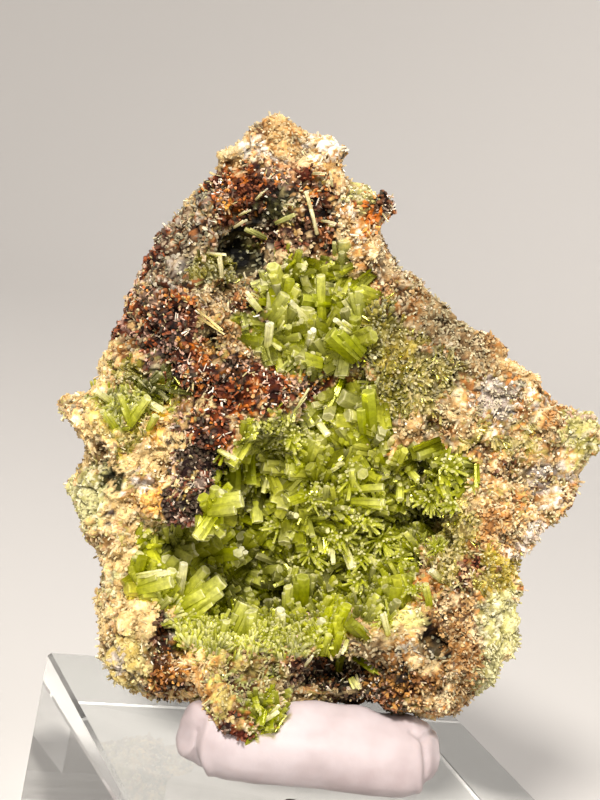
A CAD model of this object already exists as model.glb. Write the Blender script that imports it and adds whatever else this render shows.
"""The looks of a pyromorphite specimen: rough rock, green crystals, white putty and a clear block.

Lengths are millimetres in this file until a mesh is made. Places on the specimen are given as
the camera sees them: u to the right and v up from the middle of its face, w towards the camera.
"""

import math
from itertools import product

import bmesh
import bpy
import numpy as np
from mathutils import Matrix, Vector
from mathutils.bvhtree import BVHTree


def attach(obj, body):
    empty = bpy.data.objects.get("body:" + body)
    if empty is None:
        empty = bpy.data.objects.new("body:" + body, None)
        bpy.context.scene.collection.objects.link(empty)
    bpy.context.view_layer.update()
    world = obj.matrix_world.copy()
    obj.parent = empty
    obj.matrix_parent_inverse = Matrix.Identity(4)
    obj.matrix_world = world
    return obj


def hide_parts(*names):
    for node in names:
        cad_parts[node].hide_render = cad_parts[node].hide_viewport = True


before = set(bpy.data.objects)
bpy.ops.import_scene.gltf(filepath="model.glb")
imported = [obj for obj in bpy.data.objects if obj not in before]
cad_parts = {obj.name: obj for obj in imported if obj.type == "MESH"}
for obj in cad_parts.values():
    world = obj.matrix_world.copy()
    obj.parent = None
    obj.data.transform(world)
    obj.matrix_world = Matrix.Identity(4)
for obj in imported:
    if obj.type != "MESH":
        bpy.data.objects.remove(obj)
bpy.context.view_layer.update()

MM = 0.001

# The view: the middle of the specimen's face, how the face leans back and tips to the left, how
# far off the camera is, its lens and sensor, and the nearest that it sees.
FACE_CENTRE = np.array((-8.6, 1.4, 59.6))
LEAN_BACK = math.radians(11.9)
TIP_LEFT = math.radians(11.7)
SIGHT_DISTANCE = 217.0
LENS = 87.9
SENSOR = 36.0
NEAREST = 10.0

# How coarse the meshes of the rock and the putty are, and how close their corners are joined.
WELD_GAP = 0.01
FIRST_VOXEL = 0.5
ROCK_VOXEL = 0.38
PUTTY_VOXEL = 0.35

# The rock's relief: size and height of each kind. The rock shrinks first, so it stays in its box.
ROCK_SHRINK = 0.35
ROCK_SWELL = (6.0, 1.5)
ROCK_LUMP = (2.6, 0.8)
ROCK_GRAIN = (0.95, 0.24)
ROCK_PIT = (3.2, 1.1)
ROCK_ROUGH = (1.3, 0.5)
ROCK_WARP = (2.2, 1.1)
PIT_FROM, PIT_RANGE = 0.62, 0.2
CRACK_WIDTH = 0.22
CRACK_DEPTH = 0.55
NODULE_SIZE = 2.0
OUTLINE_INSET = 0.15

# Where the rock is knobbly: u, v, half width, half height, knob height.
KNOBBLY = (
    (-6.6, 1.8, 10.0, 3.0, 1.1), (-14.0, 7.0, 4.0, 5.5, 1.1), (-10.3, -3.4, 3.6, 3.6, 1.0),
    (-12.6, -10.9, 3.0, 4.0, 0.8), (-7.0, 22.9, 5.0, 3.2, 0.9), (2.1, 20.0, 3.0, 4.5, 0.7),
    (17.8, -27.0, 4.5, 5.5, 0.8), (8.8, -30.6, 8.0, 3.0, 0.8), (-5.0, -33.0, 4.5, 4.0, 0.9),
    (-15.0, -27.0, 4.0, 5.0, 0.7), (22.5, -14.0, 3.6, 3.6, 0.6), (20.0, 5.0, 4.0, 4.0, 0.5),
)
# Small deep holes: u, v, radius, depth.
HOLES = (
    (9.6, -9.8, 1.5, 2.4), (-8.4, -22.8, 1.9, 2.4), (-4.6, -17.8, 2.4, 1.8), (5.4, -20.2, 1.5, 1.8),
    (15.4, -15.6, 1.3, 1.6), (13.9, -7.2, 1.2, 1.6), (-9.7, 6.7, 1.3, 1.8), (19.8, -5.4, 1.2, 1.4),
    (15.0, -26.8, 1.2, 1.6), (4.8, -29.2, 2.6, 1.8), (-15.0, -26.1, 1.0, 1.2), (17.2, 3.1, 0.9, 1.0),
    (-8.0, -7.6, 1.2, 1.0), (-3.3, 20.6, 1.4, 1.6), (-18.5, 2.0, 1.4, 1.6), (0.6, 12.9, 1.0, 1.2),
    (-3.4, -22.0, 2.2, 1.8), (-4.0, -13.0, 2.0, 1.4), (-21.2, -8.9, 1.1, 1.4), (-6.4, 16.4, 1.9, 2.4),
    (-1.6, 22.6, 1.0, 1.2), (14.6, -27.0, 1.2, 1.4), (2.8, -29.6, 1.5, 1.4),
)
# Lumps that fill the rock out: centre u, v, w and half sizes.
LUMPS = (
    (-7.4, -35.0, 8.0, 3.0, 3.0, 3.2), (-4.6, -34.8, 8.0, 2.3, 3.4, 3.0), (-6.2, -36.2, 8.2, 3.2, 2.2, 2.8),
    (-8.4, -32.8, 7.0, 2.4, 2.4, 2.8), (-16.6, -10.4, 4.4, 2.6, 3.4, 3.0), (13.2, -15.8, -1.0, 2.6, 2.4, 3.0),
    (-12.6, -9.4, 9.0, 2.7, 1.9, 2.9), (-13.2, -11.4, 9.2, 1.9, 1.9, 2.7), (-13.6, -13.0, 9.2, 1.3, 1.4, 2.2),
    (5.0, 27.5, 3.6, 1.8, 2.0, 2.0), (8.8, 22.6, 3.6, 2.3, 1.8, 1.8), (12.4, 13.0, 2.6, 2.0, 1.6, 2.0),
    (15.6, 10.2, 3.0, 2.2, 1.6, 2.2), (19.0, 7.6, 3.4, 2.2, 1.4, 2.0), (32.2, -3.6, 1.6, 2.0, 2.8, 2.0),
    (-8.6, 27.2, 3.0, 1.6, 1.6, 2.0), (25.4, 2.4, 3.2, 1.8, 1.4, 1.8),
)
# The dark knob that hangs over the left of the vug: u, v, half width, half height and lean, with
# the depth that it starts from and the golden spot on it: u, v and radius.
KNOB = (-12.5, -10.4, 2.7, 4.1, 22)
KNOB_FROM = 6
KNOB_GOLD = (-14.5, -9.2, 1.0)

# The specimen's outline as seen, clockwise from the top of its crown.
OUTLINE = np.array((
    (-2.7, 31.9), (-1.9, 31.9), (-1.0, 31.0), (0.4, 29.9), (2.8, 30.0), (4.7, 29.2), (5.6, 27.3),
    (5.0, 26.1), (5.4, 25.1), (6.4, 24.4), (7.9, 24.6), (9.8, 22.8), (11.0, 21.0), (10.4, 20.3),
    (9.3, 20.0), (8.7, 19.0), (8.8, 18.4), (9.6, 17.7), (9.9, 16.6), (10.6, 16.0), (11.1, 14.7),
    (12.2, 14.4), (13.7, 13.1), (14.6, 11.6), (16.0, 10.8), (17.6, 9.3), (18.9, 7.9), (20.9, 7.6),
    (22.4, 6.8), (24.0, 4.4), (25.4, 3.3), (26.6, 2.9), (26.7, 1.6), (27.8, 0.9), (28.6, -0.4),
    (31.0, -0.7), (32.7, -1.1), (33.6, -3.4), (33.3, -6.2), (31.6, -8.0), (29.9, -11.8),
    (28.3, -13.7), (27.2, -14.4), (25.6, -16.9), (24.4, -17.5), (24.2, -19.2), (25.0, -20.6),
    (25.0, -21.4), (23.8, -23.0), (24.7, -24.4), (24.7, -26.1), (23.6, -28.9), (22.4, -28.9),
    (21.7, -31.7), (19.1, -33.0), (17.8, -34.7), (14.6, -35.6), (9.8, -34.8), (4.4, -33.8),
    (-0.6, -34.6), (-2.6, -36.8), (-5.6, -38.1), (-9.0, -36.8), (-10.9, -34.0), (-13.4, -33.3),
    (-17.8, -33.1), (-20.8, -31.2), (-22.3, -28.6), (-22.2, -24.7), (-23.0, -22.8), (-22.6, -20.9),
    (-22.1, -18.8), (-22.8, -16.7), (-23.6, -16.0), (-24.4, -14.3), (-24.4, -13.1), (-25.3, -11.4),
    (-26.3, -9.7), (-25.3, -8.0), (-24.4, -7.1), (-23.7, -5.0), (-24.8, -3.9), (-25.3, -2.6),
    (-26.2, -1.9), (-27.0, -1.1), (-27.0, 0.0), (-26.4, 0.7), (-24.0, 0.8), (-22.3, 2.0),
    (-22.8, 3.9), (-22.2, 4.7), (-21.9, 6.0), (-21.1, 6.9), (-20.9, 8.1), (-19.9, 8.8),
    (-19.7, 11.0), (-19.0, 12.9), (-18.0, 13.8), (-17.8, 15.0), (-16.2, 17.0), (-16.0, 18.3),
    (-13.7, 20.7), (-11.6, 23.7), (-10.6, 24.0), (-9.3, 25.3), (-9.2, 27.6), (-7.7, 28.2),
    (-4.4, 31.1),
))

rng = np.random.default_rng(20)

ALONG, UPWARD = math.sin(TIP_LEFT), math.cos(TIP_LEFT)
FACE = np.array((
    (UPWARD, -ALONG, 0.0),
    (ALONG * math.sin(LEAN_BACK), UPWARD * math.sin(LEAN_BACK), -math.cos(LEAN_BACK)),
    (ALONG * math.cos(LEAN_BACK), UPWARD * math.cos(LEAN_BACK), math.sin(LEAN_BACK)),
))


def to_world(points):
    return FACE_CENTRE + np.asarray(points, float) @ FACE.T


def to_face(points):
    return (np.asarray(points, float) - FACE_CENTRE) @ FACE


def as_seen(points):
    """Where world points show on the plane through the middle of the face: u, v and their depth w."""
    face = to_face(points)
    scale = SIGHT_DISTANCE / (SIGHT_DISTANCE - face[:, 2])
    return face[:, 0] * scale, face[:, 1] * scale, face[:, 2]


# Noise

def hashed(cells, seed):
    """A number from 0 to 1 for each whole-number cell."""
    n = cells[:, 0] * 73856093 ^ cells[:, 1] * 19349663 ^ cells[:, 2] * 83492791
    n = n ^ (seed * 2654435761 + 40503)
    n = (n ^ (n >> 13)) * 1274126177
    n = (n ^ (n >> 16)) * 668265263
    n = n ^ (n >> 15)
    return (n & 0xFFFFFF) / 0x1000000


def noise(points, size, seed=0):
    """Smooth noise from 0 to 1 with waves about size long."""
    place = points / size
    corner = np.floor(place).astype(np.int64)
    part = place - corner
    part = part * part * (3 - 2 * part)
    total = np.zeros(len(points))
    for step in product((0, 1), repeat=3):
        weight = np.ones(len(points))
        for axis in range(3):
            weight *= part[:, axis] if step[axis] else 1 - part[:, axis]
        total += weight * hashed(corner + np.array(step), seed)
    return total


def grains(points, size, seed=0):
    """The distance to the nearest grain's centre, the gap to the second one, and a number per grain."""
    place = points / size
    corner = np.floor(place).astype(np.int64)
    near = np.full(len(points), 9.0)
    second = np.full(len(points), 9.0)
    number = np.zeros(len(points))
    for step in product((-1, 0, 1), repeat=3):
        cell = corner + np.array(step)
        centre = cell + np.stack([hashed(cell, seed + k) for k in (1, 2, 3)], axis=1)
        apart = np.linalg.norm(place - centre, axis=1)
        closer = apart < near
        second = np.where(closer, near, np.minimum(second, apart))
        number = np.where(closer, hashed(cell, seed + 4), number)
        near = np.where(closer, apart, near)
    return near, second - near, number


# Colours

def linear(colour):
    value = np.asarray(colour, float) / 255
    return np.where(value <= 0.04045, value / 12.92, ((value + 0.055) / 1.055) ** 2.4)


# Each palette holds shares and colours of the grains in that zone.
PALETTES = {
    "cream": ((30, (212, 182, 134)), (24, (186, 146, 94)), (12, (236, 218, 184)), (16, (152, 108, 60)),
              (10, (196, 158, 94)), (8, (94, 62, 34))),
    "cream_left": ((34, (232, 202, 142)), (24, (212, 176, 114)), (14, (242, 224, 180)), (12, (218, 174, 122)),
                   (10, (202, 188, 110)), (6, (150, 114, 66))),
    "cream_right": ((26, (226, 196, 142)), (22, (202, 162, 104)), (14, (242, 222, 182)),
                    (12, (214, 162, 104)), (12, (176, 156, 86)), (8, (108, 80, 46)), (6, (196, 132, 68))),
    "tan_orange": ((40, (200, 154, 92)), (30, (224, 184, 124)), (20, (178, 122, 58)), (10, (112, 72, 36))),
    "tan_grey": ((34, (190, 158, 110)), (24, (152, 118, 76)), (18, (216, 190, 146)), (14, (100, 72, 44)),
                 (10, (190, 132, 70))),
    "speckle": ((22, (196, 174, 144)), (20, (118, 90, 64)), (20, (58, 38, 26)), (14, (164, 104, 56)),
                (12, (234, 220, 198)), (12, (108, 56, 30))),
    "cream_orange": ((38, (232, 206, 156)), (30, (214, 168, 102)), (22, (190, 132, 66)),
                     (10, (242, 230, 206))),
    "white": ((64, (246, 236, 222)), (24, (228, 210, 186)), (12, (222, 168, 110))),
    "grey_white": ((42, (208, 194, 178)), (25, (160, 144, 126)), (20, (234, 222, 208)), (13, (104, 88, 74))),
    "grey_dark": ((50, (100, 86, 78)), (30, (62, 50, 46)), (20, (150, 134, 120))),
    "lilac": ((45, (240, 222, 208)), (25, (216, 196, 180)), (20, (248, 238, 226)), (10, (150, 130, 110))),
    "pink_cream": ((50, (230, 196, 174)), (30, (212, 174, 148)), (20, (238, 216, 190))),
    "peach": ((50, (230, 180, 130)), (30, (212, 154, 100)), (20, (236, 206, 162))),
    "ochre": ((40, (216, 158, 74)), (34, (236, 190, 108)), (26, (170, 108, 38))),
    "yellow_tan": ((38, (212, 186, 104)), (30, (230, 210, 142)), (22, (168, 136, 70)), (10, (140, 122, 100))),
    "rust_orange": ((32, (182, 128, 68)), (22, (148, 98, 46)), (22, (218, 174, 112)), (10, (98, 62, 32)),
                    (14, (236, 210, 164))),
    "orange": ((56, (212, 114, 20)), (26, (172, 80, 14)), (18, (238, 166, 66))),
    "rust_dark": ((28, (132, 52, 14)), (24, (84, 30, 12)), (16, (186, 92, 20)), (16, (38, 18, 12)),
                  (8, (216, 134, 40)), (8, (218, 176, 146))),
    "brown_red": ((32, (110, 38, 16)), (24, (68, 24, 14)), (18, (162, 70, 20)), (16, (34, 16, 12)),
                  (10, (212, 166, 148))),
    "brown_dark": ((38, (70, 32, 18)), (26, (100, 46, 20)), (24, (30, 16, 10)), (12, (152, 84, 36))),
    "band": ((26, (128, 48, 16)), (20, (182, 84, 18)), (18, (76, 28, 14)), (14, (36, 18, 12)),
             (10, (216, 130, 34)), (12, (214, 172, 146))),
    "purple_black": ((36, (44, 20, 18)), (22, (70, 36, 32)), (20, (20, 10, 8)), (16, (104, 36, 20)),
                     (6, (190, 164, 146))),
    "gold": ((60, (204, 166, 82)), (40, (232, 208, 150))),
    "amber": ((36, (164, 98, 26)), (28, (120, 62, 16)), (24, (202, 140, 58)), (12, (50, 24, 10))),
    "brown_lime": ((34, (200, 178, 102)), (24, (160, 116, 60)), (22, (188, 190, 104)), (20, (92, 54, 26))),
    "red_brown_cream": ((40, (130, 62, 36)), (30, (214, 172, 126)), (30, (84, 36, 22))),
    "olive": ((38, (148, 136, 48)), (30, (122, 112, 36)), (24, (180, 166, 86)), (8, (78, 70, 26))),
    "olive_yellow": ((40, (178, 156, 60)), (30, (200, 182, 100)), (30, (142, 118, 44))),
    "olive_cream": ((38, (188, 170, 100)), (32, (210, 192, 134)), (22, (152, 136, 70)), (8, (104, 88, 46))),
    "cream_green": ((38, (218, 212, 154)), (30, (196, 190, 122)), (22, (234, 228, 188)),
                    (10, (158, 148, 86))),
    "hollow": ((52, (15, 12, 6)), (30, (32, 27, 13)), (11, (86, 78, 40)), (7, (158, 144, 98))),
    "hollow_brown": ((54, (34, 19, 9)), (34, (62, 37, 18)), (12, (130, 92, 52))),
    "deep_olive": ((60, (52, 50, 22)), (40, (84, 80, 38))),
    "green": ((36, (158, 162, 14)), (28, (138, 141, 8)), (22, (188, 189, 52)), (14, (108, 110, 4))),
    "deep_green": ((50, (100, 102, 5)), (50, (74, 75, 3))),
    "pale_lime": ((38, (210, 210, 104)), (32, (188, 190, 64)), (30, (232, 230, 166))),
    "lime_yellow": ((60, (186, 190, 12)), (40, (206, 208, 46))),
    "lime_nodule": ((40, (226, 214, 138)), (26, (198, 190, 98)), (22, (242, 232, 186)), (12, (160, 148, 74))),
    "back": ((30, (152, 110, 68)), (24, (196, 162, 112)), (18, (114, 68, 36)), (16, (216, 190, 146)),
             (12, (84, 50, 28))),
}
PALETTE_NAMES = list(PALETTES)

# The patches of each palette: u, v, half width, half height and, for some, degrees of turn.
PATCHES = {
    "tan_orange": (
        (-2.0, 30.3, 2.6, 1.6), (-18.4, 5.6, 2.0, 1.6), (23.0, 5.4, 2.6, 1.3, -35), (11.6, -5.4, 3.2, 1.7),
        (-11.0, -30.6, 2.4, 2.0),
    ),
    "white": ((-4.3, 27.9, 1.8, 1.5), (2.9, 28.4, 2.4, 0.9), (25.4, 0.6, 1.2, 1.2), (28.4, -10.4, 1.0, 0.9)),
    "cream_orange": (
        (2.7, 27.4, 3.0, 1.6), (-7.8, 26.6, 2.0, 1.5), (6.4, 18.6, 2.2, 3.4), (11.8, -27.9, 2.1, 1.7),
        (-12.0, -28.2, 2.0, 1.4),
    ),
    "peach": ((-1.4, 26.4, 1.8, 1.2), (2.1, 8.1, 0.8, 0.6), (6.2, -25.4, 1.3, 1.2)),
    "rust_dark": (
        (-7.0, 22.9, 4.2, 2.9), (-1.5, 24.5, 3.4, 1.5, 10), (-18.2, 9.8, 1.6, 1.8), (-13.8, 10.6, 3.6, 2.2),
    ),
    "orange": (
        (-7.0, 24.8, 0.9, 0.8), (-7.6, 22.2, 0.8, 0.7), (-7.3, 20.9, 0.7, 0.6), (-12.0, 11.6, 0.8, 0.7),
        (-13.0, 6.0, 0.8, 0.7), (-11.3, 4.2, 1.1, 1.6), (1.8, 23.0, 0.7, 0.6), (7.9, 20.7, 1.1, 1.2),
        (-10.4, -2.6, 1.0, 0.8), (-5.4, 0.4, 0.9, 0.7), (-0.7, 2.3, 0.8, 0.6), (-8.4, -4.6, 0.7, 0.6),
    ),
    "grey_dark": ((-11.3, 22.9, 1.1, 1.1), (-21.3, -13.4, 0.5, 0.6), (23.8, 0.9, 0.7, 0.8)),
    "deep_olive": ((-3.3, 21.1, 1.6, 1.7), (-21.2, -8.9, 0.8, 1.5)),
    "hollow": (
        (-6.3, 16.6, 2.3, 3.3, 12), (-1.6, 22.6, 1.4, 0.9), (-8.0, 18.2, 1.0, 0.8), (-9.7, 6.7, 1.4, 1.2),
        (9.6, -9.8, 0.9, 1.4), (5.4, -20.2, 1.1, 1.0), (13.9, -7.2, 0.8, 1.2),
    ),
    "speckle": ((-13.4, 16.0, 4.6, 5.6, -30),),
    "olive": (
        (-9.9, 14.9, 2.4, 1.8), (-18.2, 2.8, 1.4, 1.4), (8.6, 7.0, 2.0, 5.0), (11.5, 1.2, 3.2, 3.2),
        (-19.8, -5.4, 1.4, 1.2),
    ),
    "grey_white": ((-13.2, 14.9, 1.4, 1.3), (-20.3, -29.4, 1.4, 1.2), (28.7, -7.6, 1.4, 0.8)),
    "cream": ((-10.9, 18.0, 1.3, 1.3),),
    "brown_red": (
        (-16.6, 16.0, 0.9, 3.0, -32), (-19.8, 8.2, 1.2, 1.2), (-14.1, 7.4, 3.0, 2.8), (-14.0, 4.4, 2.2, 1.6),
        (-7.6, -36.6, 2.8, 1.7, -12),
    ),
    "pink_cream": ((-18.6, 12.8, 0.9, 1.4, -20), (31.8, -1.5, 2.0, 1.0), (1.7, -24.9, 1.1, 1.0)),
    "rust_orange": (
        (-9.6, 10.6, 2.4, 1.5), (-6.1, 6.0, 2.0, 1.1), (12.8, 10.3, 1.4, 1.7), (9.3, 12.6, 0.9, 0.9),
        (20.6, 6.8, 1.8, 1.1, -30), (27.6, -3.1, 1.5, 1.2), (20.6, -7.8, 1.7, 0.9), (8.9, -4.6, 1.0, 0.8),
        (30.0, -10.6, 1.1, 1.2), (22.5, -13.8, 2.9, 2.7), (20.4, -17.2, 1.8, 1.1), (17.8, -22.8, 1.7, 2.4),
        (17.8, -27.0, 2.7, 4.2), (16.2, -32.2, 3.8, 2.2),
    ),
    "deep_green": (
        (-15.4, 1.0, 2.6, 1.4, -8), (-8.6, -23.0, 1.6, 2.2), (-4.0, -18.4, 2.6, 2.0),
        (-3.4, -21.8, 3.0, 2.0), (-4.0, -12.8, 2.2, 2.4),
    ),
    "brown_dark": (
        (-6.3, 10.3, 1.6, 1.6), (2.1, 20.0, 2.3, 4.0), (9.8, 21.8, 1.5, 2.0), (-15.0, -26.1, 1.2, 3.2, 15),
        (22.2, -7.4, 1.2, 0.6), (4.0, -29.6, 3.4, 1.8), (7.3, -33.6, 4.4, 1.0), (1.2, -29.6, 2.6, 1.5),
    ),
    "red_brown_cream": ((-2.0, 17.9, 2.0, 1.8), (18.8, -19.2, 1.2, 1.2)),
    "lime_nodule": ((6.9, 22.9, 1.7, 1.4), (12.0, -24.2, 3.0, 1.7), (31.2, -4.2, 2.2, 2.3)),
    "green": (
        (2.0, 9.8, 5.8, 6.0), (-3.2, 7.4, 3.2, 2.0), (0.0, -14.6, 14.0, 11.6), (-13.6, -18.2, 5.0, 4.6),
        (10.6, -9.2, 4.6, 3.6), (-1.6, -5.0, 5.0, 3.4), (6.0, -2.6, 5.0, 4.0), (16.2, -8.6, 2.6, 3.4),
        (-3.6, -34.6, 1.8, 3.0, 10),
    ),
    "band": ((-6.6, 1.8, 9.6, 2.6, -2), (-10.3, -3.4, 3.0, 2.6)),
    "purple_black": ((-11.0, -6.9, 3.0, 2.0),),
    "ochre": ((-16.0, -3.6, 1.2, 2.6), (-16.8, -10.9, 2.1, 2.0, 30)),
    "pale_lime": (
        (-18.9, -0.8, 4.4, 2.0), (-2.5, -2.9, 3.0, 1.5), (-5.6, -26.9, 8.2, 1.6), (-11.8, -25.2, 2.8, 2.4),
    ),
    "yellow_tan": (
        (-23.2, -1.8, 1.5, 1.5), (-20.4, -4.2, 2.4, 1.2), (-19.6, -29.6, 3.2, 3.0), (-16.6, -30.6, 1.0, 1.6),
    ),
    "lilac": (
        (-18.4, -8.9, 0.9, 1.1), (21.8, -0.1, 1.8, 2.6, 15), (26.3, -8.8, 1.1, 1.0),
        (25.3, -14.9, 1.2, 2.6, -35),
    ),
    "cream_green": (
        (-23.8, -10.6, 2.6, 3.4), (-21.1, -19.5, 0.9, 1.6), (2.2, -10.7, 1.5, 1.2), (22.6, -24.8, 2.8, 4.2),
        (20.8, -30.4, 2.0, 2.4),
    ),
    "amber": ((-14.2, -30.3, 2.8, 1.7), (10.4, -31.6, 5.0, 1.8), (-14.0, -31.4, 3.0, 1.4)),
    "lime_yellow": (
        (6.6, -13.2, 1.5, 1.5), (3.8, -24.8, 1.1, 2.8), (4.2, -14.7, 1.3, 1.3), (-15.6, -16.8, 1.6, 2.0),
    ),
    "hollow_brown": ((19.8, -5.4, 1.3, 0.7), (17.2, 3.1, 0.9, 0.7), (15.0, -26.8, 1.3, 2.0)),
    "olive_cream": (
        (22.3, -4.7, 4.2, 1.1, -8), (14.6, 1.4, 2.0, 2.8), (15.4, 3.2, 2.6, 2.0), (17.0, -15.6, 2.6, 5.0),
    ),
    "tan_grey": ((15.6, 7.6, 6.4, 2.9, -38), (8.8, -28.4, 2.4, 1.6)),
    "olive_yellow": ((11.4, 4.6, 1.9, 3.4), (22.3, -18.9, 2.4, 2.4)),
    "brown_lime": ((-6.4, -30.2, 5.4, 2.4), (-8.0, -33.0, 3.0, 1.8)),
}
GREENS = ("green", "deep_green", "pale_lime", "lime_yellow")
BROWNS = ("rust_dark", "brown_red", "brown_dark", "band", "purple_black", "red_brown_cream", "amber")
DARK = ("hollow", "hollow_brown", "deep_olive")
# How dark the rock is under the crystals, how large its grains and clouds of colour are, and how
# much of a grain's colour is its own and its neighbourhood's.
UNDER_GREEN = 0.35
UNDER_BROWN = 0.32
TINT_GRAIN = 0.62
TINT_CLOUD = 2.6
CLUSTER_SIZE = 1.9
OWN_SHARE, CLUSTER_SHARE = 0.6, 1.5
# Where the rock is darker or lighter than its palettes: u, v, half width, half height, factor.
SHADED = (
    (-12.0, 10.0, 7.0, 9.0, 0.68), (16.0, 8.0, 6.5, 7.0, 0.64), (-2.0, 28.0, 7.0, 4.0, 0.86),
    (-5.0, 22.0, 7.0, 4.0, 0.8), (-9.0, 3.0, 8.0, 5.0, 0.8), (7.0, -32.0, 8.0, 3.0, 0.9),
    (-2.0, -32.0, 6.0, 2.6, 0.7), (9.0, -28.0, 5.0, 3.0, 0.75), (16.0, -29.0, 5.0, 4.0, 0.8),
    (-16.5, -10.0, 3.0, 3.0, 1.15), (-4.4, 27.9, 1.6, 1.4, 1.35), (2.7, 28.3, 2.2, 1.0, 1.2),
    (1.0, 5.0, 7.0, 8.0, 0.86), (31.0, -4.0, 4.0, 4.0, 0.84), (-21.0, -16.0, 6.0, 16.0, 0.92),
    (14.0, 11.0, 5.0, 6.0, 0.85), (-2.0, 24.0, 9.0, 9.0, 0.93), (7.0, -30.0, 12.0, 4.0, 0.8),
    (5.0, 1.0, 4.5, 4.5, 0.82), (20.0, 0.0, 8.0, 6.0, 0.94), (-14.0, 14.0, 5.0, 4.0, 0.9),
    (3.5, 1.0, 5.0, 5.0, 0.88), (-18.0, -1.0, 4.0, 2.5, 0.92), (12.0, 12.0, 5.0, 6.0, 0.92),
)
LEAST_LIGHT, MOST_LIGHT = 0.3, 1.3

# How the edges of the zones waver: size and reach. How far single grains stray over them.
WAVER_SIZES = ((4.5, 2.2), (1.8, 1.7))
GRAIN_SIZE = 0.7
MIXING = 1.9
LEFT_OF_FLANK = -9.0
CROWN_FROM = 13
# Small patches win over large ones by this power of their size.
SMALL_FIRST = 0.35

# The unseen back starts past this depth, on faces turned this far away. Its mottle is noise of
# three sizes, each with its share, and its palettes change at these levels.
BACK_DEPTH = -3.0
BACK_FACING = 0.15
BACK_MOTTLE = ((0.5, 8.0), (0.3, 3.4), (0.2, 1.5))
CREAM_OVER, RUST_UNDER, SPECKLE_UNDER = 0.56, 0.42, 0.34


def is_on_knob(u, v, w):
    middle_u, middle_v, half_u, half_v, lean = KNOB
    cos, sin = math.cos(math.radians(lean)), math.sin(math.radians(lean))
    across = (u - middle_u) * cos - (v - middle_v) * sin
    along = (u - middle_u) * sin + (v - middle_v) * cos
    return ((across / half_u) ** 2 + (along / half_v) ** 2 < 1) & (w > KNOB_FROM)


def lightness(points):
    """How much lighter the rock is than its palettes."""
    u, v, _ = as_seen(points)
    total = np.ones(len(points))
    for pu, pv, half_u, half_v, factor in SHADED:
        total += (factor - 1) * np.exp(-(((u - pu) / half_u) ** 2 + ((v - pv) / half_v) ** 2))
    return np.clip(total, LEAST_LIGHT, MOST_LIGHT)


def zones(points, facing):
    """The number of the palette that each world point lies in. facing is its normal's share along w."""
    number_of = PALETTE_NAMES.index
    u, v, w = as_seen(points)
    on_knob = is_on_knob(u, v, w)
    for seed, (size, reach) in enumerate(WAVER_SIZES):
        u = u + reach * (noise(points, size, 31 + seed) - 0.5)
        v = v + reach * (noise(points, size, 41 + seed) - 0.5)
    _, _, number = grains(points, GRAIN_SIZE, 51)
    u = u + MIXING * (number - 0.5)
    v = v + MIXING * (number * 7 % 1 - 0.5)
    found = np.where(u < LEFT_OF_FLANK, number_of("cream_left"), number_of("cream_right"))
    found = np.where((v > CROWN_FROM) & (u > LEFT_OF_FLANK), number_of("cream"), found)
    best = np.zeros(len(points))
    for name, patches in PATCHES.items():
        for pu, pv, half_u, half_v, *turn in patches:
            turn = math.radians(sum(turn))
            du, dv = u - pu, v - pv
            along = (du * math.cos(turn) + dv * math.sin(turn)) / half_u
            across = (dv * math.cos(turn) - du * math.sin(turn)) / half_v
            inside = (1 - along**2 - across**2) / (half_u * half_v) ** SMALL_FIRST
            wins = inside > best
            found = np.where(wins, number_of(name), found)
            best = np.where(wins, inside, best)
    found = np.where(on_knob, number_of("purple_black"), found)
    is_gold = on_knob & (np.hypot(u - KNOB_GOLD[0], v - KNOB_GOLD[1]) < KNOB_GOLD[2])
    found = np.where(is_gold, number_of("gold"), found)
    mottle = sum(share * noise(points, size, 61 + k) for k, (share, size) in enumerate(BACK_MOTTLE))
    other = np.where(mottle > CREAM_OVER, number_of("cream"), number_of("back"))
    other = np.where(mottle < RUST_UNDER, number_of("rust_orange"), other)
    other = np.where(mottle < SPECKLE_UNDER, number_of("speckle"), other)
    return np.where((w < BACK_DEPTH) & (facing < BACK_FACING), other, found)


def palette_colours(numbers, chance):
    """Linear colours picked from each point's palette by a chance from 0 to 1."""
    colours = np.zeros((len(numbers), 3))
    for number in np.unique(numbers):
        rows = PALETTES[PALETTE_NAMES[number]]
        shares = np.cumsum([share for share, _ in rows]) / sum(share for share, _ in rows)
        here = numbers == number
        pick = np.searchsorted(shares, np.clip(chance[here], 0, 0.9999))
        colours[here] = linear([colour for _, colour in rows])[pick]
    return colours


def is_one_of(numbers, names):
    return np.isin(numbers, [PALETTE_NAMES.index(name) for name in names])


def clustered(points, chance):
    """The chances, shifted so that neighbours more often get the same colour."""
    shift = CLUSTER_SHARE * (noise(points, CLUSTER_SIZE, 23) - 0.5)
    return np.clip(OWN_SHARE * chance + shift + 0.2, 0, 0.999)


# Meshes

def put_in_scene(name, data):
    made = bpy.data.objects.new(name, data)
    bpy.context.collection.objects.link(made)
    return made


def add_tints(mesh, tints):
    """Gives each point of the mesh its own colour, which the materials read as tint."""
    layer = mesh.attributes.new("tint", "FLOAT_COLOR", "POINT")
    layer.data.foreach_set("color", np.column_stack([tints, np.ones(len(tints))]).astype(np.float32).ravel())


def mesh_from(name, points, loops, sizes, tints=None, smooth=False):
    """An object from points in mm, the corners of its faces in a row, and each face's corner count."""
    mesh = bpy.data.meshes.new(name)
    mesh.vertices.add(len(points))
    mesh.vertices.foreach_set("co", (np.asarray(points) * MM).astype(np.float32).ravel())
    mesh.loops.add(len(loops))
    mesh.loops.foreach_set("vertex_index", np.asarray(loops, np.int32))
    mesh.polygons.add(len(sizes))
    starts = np.concatenate([[0], np.cumsum(sizes)[:-1]])
    mesh.polygons.foreach_set("loop_start", starts.astype(np.int32))
    mesh.polygons.foreach_set("use_smooth", np.full(len(sizes), smooth))
    mesh.update(calc_edges=True)
    mesh.validate()
    if tints is not None:
        add_tints(mesh, tints)
    return put_in_scene(name, mesh)


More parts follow.
